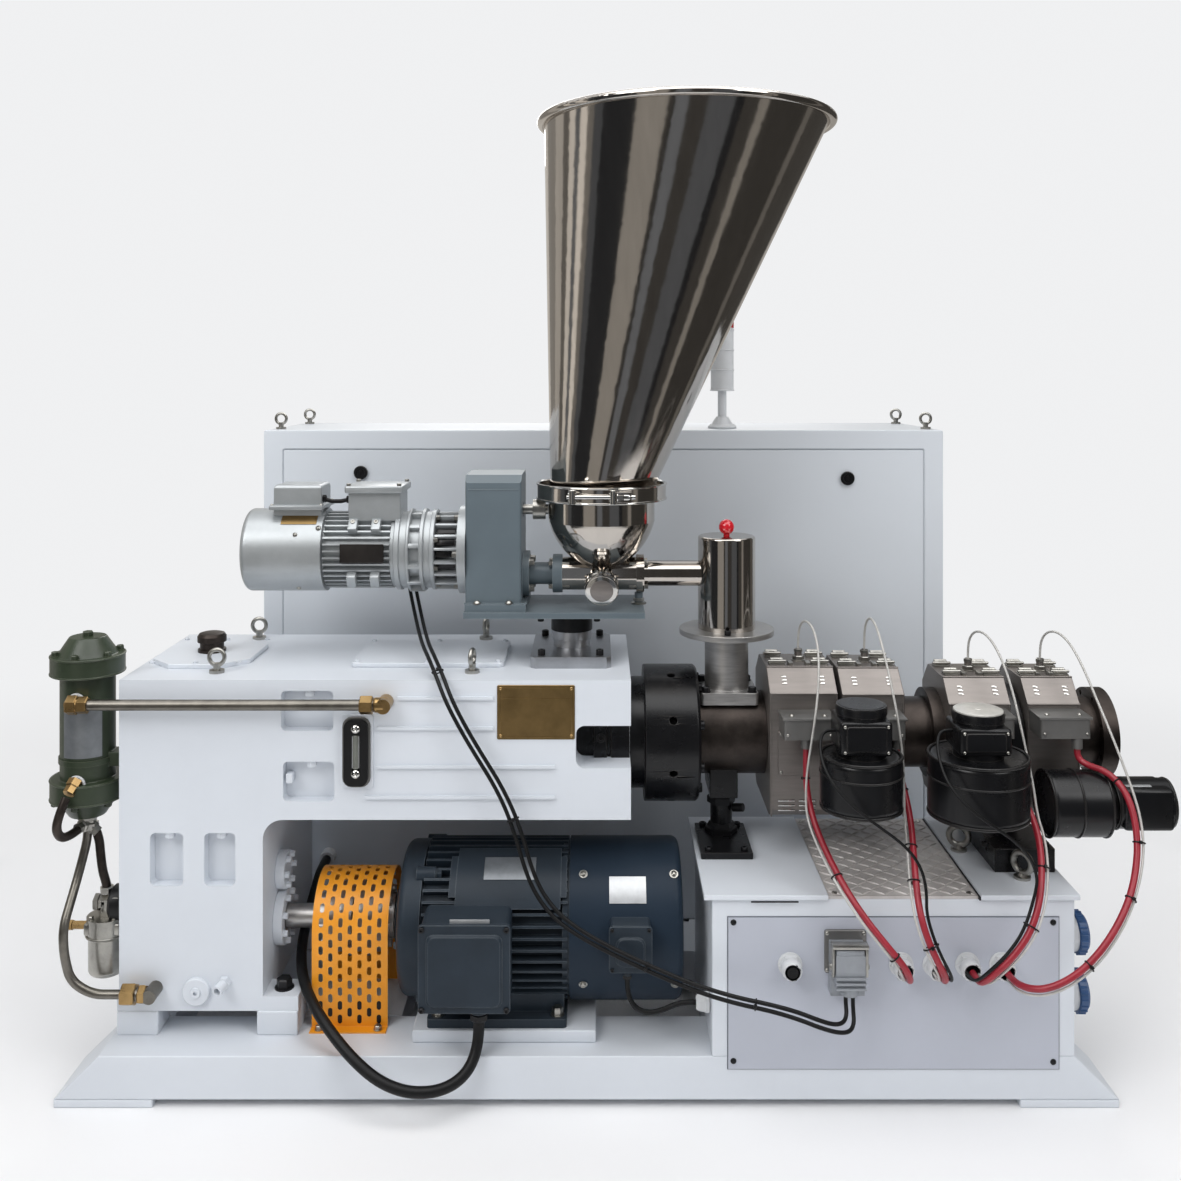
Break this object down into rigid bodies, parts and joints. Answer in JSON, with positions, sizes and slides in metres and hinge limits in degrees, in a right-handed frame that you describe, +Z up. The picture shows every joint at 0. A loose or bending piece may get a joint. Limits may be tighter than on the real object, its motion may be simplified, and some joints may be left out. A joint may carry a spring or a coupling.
{
  "type": "plastic extruder",
  "caption": "Compact twin-screw plastic extruder: gearbox, guarded motor drive, heated barrel with blowers, screw feeder under a tall hopper, cable box and cabinet on one base.",
  "frame": {"origin": "on the floor, under the middle of the machine's box without its free cables", "axes": "+X along the screw line from gearbox to outlet, +Y from the operator's side to the cabinet, +Z up"},
  "size_m": [2.301, 1.1387, 2.004],
  "materials": {
    "aluminium": "milled aluminium",
    "black_cable": "black rubber",
    "black_metal": "black enamel",
    "blue_black_paint": "semi-gloss blue-black enamel",
    "blue_plastic": "blue plastic",
    "brass": "bare brass",
    "cowl_paint": "semi-gloss dark blue enamel",
    "dark_steel": "oiled dark steel",
    "green_black_paint": "dark green enamel",
    "grey_paint": "blue-grey enamel",
    "heater_cover": "dull stainless sheet",
    "orange_paint": "orange powder coat",
    "polished_steel": "polished stainless steel",
    "red_cable": "red braided sleeve",
    "red_plastic": "glossy red",
    "silver_lead": "braided steel sleeve",
    "silver_paint": "silver-grey enamel",
    "steel": "zinc-plated steel",
    "white_paint": "semi-gloss white enamel"
  },
  "bodies": {
    "machine": {"ball_knob": "red_plastic", "barrel": "dark_steel", "barrel_flange": "black_metal", "barrel_supports": "black_metal", "base_front_rail": "white_paint", "base_rear_frame": "white_paint", "blower_lead_1": "black_cable", "blower_lead_2": "black_cable", "blowers": "black_metal", "box_front_panel": "white_paint", "box_top_plates": "white_paint", "cabinet_body": "white_paint", "cabinet_front_panel": "white_paint", "cable_box": "white_paint", "cable_connector": "steel", "cable_glands": "steel", "checker_plate": "aluminium", "coupling_guard": "orange_paint", "fan_cable": "black_cable", "feed_cylinder": "polished_steel", "feed_screw_tube": "polished_steel", "feed_throat": "polished_steel", "feeder_cable_1": "black_cable", "feeder_cable_2": "black_cable", "feeder_gearbox": "grey_paint", "feeder_motor": "silver_paint", "feeder_pedestal": "aluminium", "feeder_plate": "grey_paint", "feeder_reducer": "silver_paint", "feeder_terminal_boxes": "silver_paint", "gearbox_covers": "white_paint", "gearbox_housing": "white_paint", "heater_cable_1": "red_cable", "heater_cable_2": "red_cable", "heater_cable_3": "red_cable", "heater_cable_4": "red_cable", "heater_housings": "heater_cover", "heater_terminal_boxes": "black_metal", "hopper_bowl": "polished_steel", "hopper_clamp_ring": "polished_steel", "hopper_cone": "polished_steel", "lifting_eyes": "steel", "motor_cable": "black_cable", "motor_fan_cowl": "cowl_paint", "motor_frame": "blue_black_paint", "motor_terminal_boxes": "blue_black_paint", "mounting_pads": "white_paint", "oil_cooler": "green_black_paint", "oil_filter": "green_black_paint", "oil_level_gauge": "black_metal", "oil_pipes": "steel", "pipe_fittings": "brass", "side_sockets": "blue_plastic", "signal_lamp": "grey_paint", "thermocouple_lead_1": "silver_lead", "thermocouple_lead_2": "silver_lead", "thermocouple_lead_3": "silver_lead", "thermocouple_lead_4": "silver_lead"},
    "drive_rotor": {"drive_coupling": "dark_steel"},
    "stirrer_rotor": {"stirrer_shaft": "polished_steel"}
  },
  "joints": [
    {"name": "drive_spin", "type": "hinge", "parent": "machine", "child": "drive_rotor", "pos_m": [-0.538, -0.26, 0.287], "axis": [1, 0, 0], "continuous": true},
    {"name": "stirrer_spin", "type": "hinge", "parent": "machine", "child": "stirrer_rotor", "pos_m": [-0.165, -0.175, 1.145], "axis": [1, 0, 0], "continuous": true}
  ]
}
